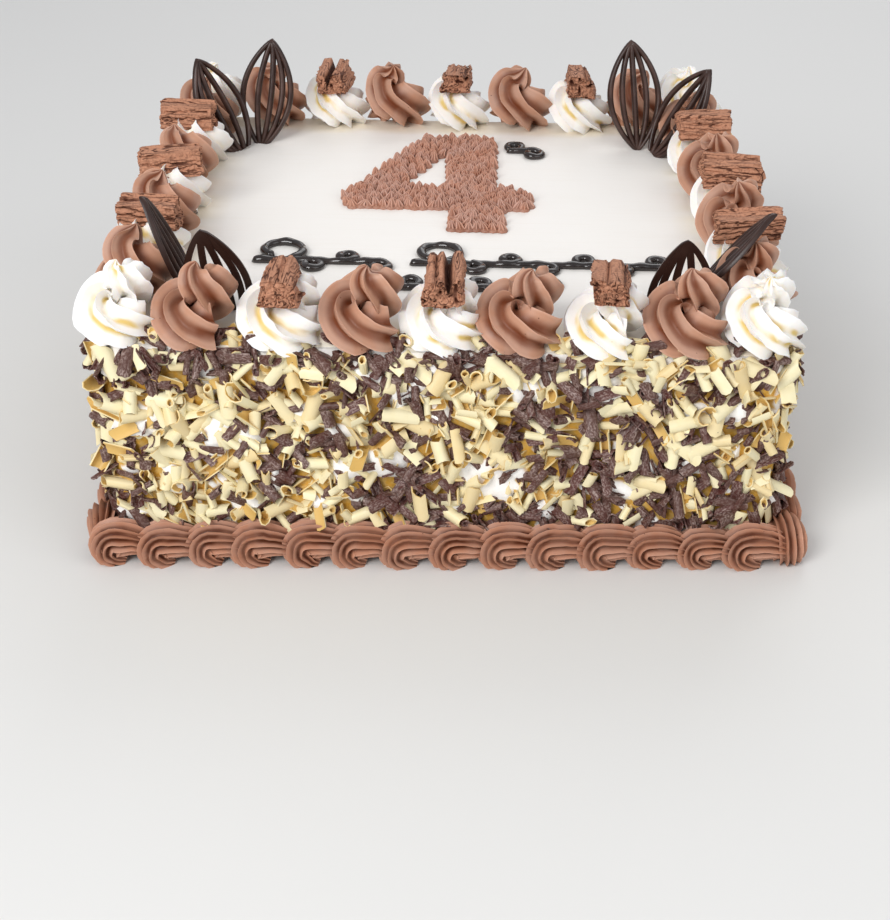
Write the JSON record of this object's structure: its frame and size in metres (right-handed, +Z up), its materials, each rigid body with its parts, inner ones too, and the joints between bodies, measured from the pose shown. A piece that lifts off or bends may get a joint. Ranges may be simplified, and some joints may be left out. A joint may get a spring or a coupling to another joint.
{
  "type": "number cake",
  "caption": "Square fresh-cream celebration cake with a piped figure 4, a ring of rosettes, chocolate leaves, flaky bars, curl-coated sides and a shell border.",
  "frame": {"origin": "middle of the flat underside", "axes": "+Z up; +Y from the front edge, where the figure's foot is, to the back; +X to the right of the figure"},
  "size_m": [0.2874, 0.2874, 0.1409],
  "materials": {
    "white_cream": "soft satin, whipped and piped",
    "chocolate_cream": "soft satin, whipped and piped",
    "dark_chocolate": "semi-gloss, piped and set",
    "flaky_chocolate": "matte, folded and crumbly",
    "chocolate_curls": "matte, shaved and rolled",
    "glossy_chocolate": "wet gloss, piped"
  },
  "bodies": {
    "root": {"cake_block": "white_cream", "curl_coat": "chocolate_curls", "shell_border": "chocolate_cream", "front_rosette_0": "white_cream", "front_rosette_1": "chocolate_cream", "front_rosette_2": "white_cream", "front_rosette_3": "chocolate_cream", "front_rosette_4": "white_cream", "front_rosette_5": "chocolate_cream", "front_rosette_6": "white_cream", "front_rosette_7": "chocolate_cream", "right_rosette_0": "white_cream", "right_rosette_1": "chocolate_cream", "right_rosette_2": "white_cream", "right_rosette_3": "chocolate_cream", "right_rosette_4": "white_cream", "right_rosette_5": "chocolate_cream", "right_rosette_6": "white_cream", "right_rosette_7": "chocolate_cream", "back_rosette_0": "white_cream", "back_rosette_1": "chocolate_cream", "back_rosette_2": "white_cream", "back_rosette_3": "chocolate_cream", "back_rosette_4": "white_cream", "back_rosette_5": "chocolate_cream", "back_rosette_6": "white_cream", "back_rosette_7": "chocolate_cream", "left_rosette_0": "white_cream", "left_rosette_1": "chocolate_cream", "left_rosette_2": "white_cream", "left_rosette_3": "chocolate_cream", "left_rosette_4": "white_cream", "left_rosette_5": "chocolate_cream", "left_rosette_6": "white_cream", "left_rosette_7": "chocolate_cream", "front_flake_2": "flaky_chocolate", "front_flake_4": "flaky_chocolate", "front_flake_6": "flaky_chocolate", "right_flake_2": "flaky_chocolate", "right_flake_4": "flaky_chocolate", "right_flake_6": "flaky_chocolate", "back_flake_2": "flaky_chocolate", "back_flake_4": "flaky_chocolate", "back_flake_6": "flaky_chocolate", "left_flake_2": "flaky_chocolate", "left_flake_4": "flaky_chocolate", "left_flake_6": "flaky_chocolate", "leaf_back_left_upright": "dark_chocolate", "leaf_back_left_leaning": "dark_chocolate", "leaf_back_right_upright": "dark_chocolate", "leaf_back_right_leaning": "dark_chocolate", "leaf_front_left_facing": "dark_chocolate", "leaf_front_left_edgeways": "dark_chocolate", "leaf_front_right_facing": "dark_chocolate", "leaf_front_right_edgeways": "dark_chocolate", "figure_four": "chocolate_cream", "scroll_left": "glossy_chocolate", "scroll_right": "glossy_chocolate", "scroll_lower": "glossy_chocolate", "scroll_beside_figure": "glossy_chocolate"}
  },
  "joints": []
}
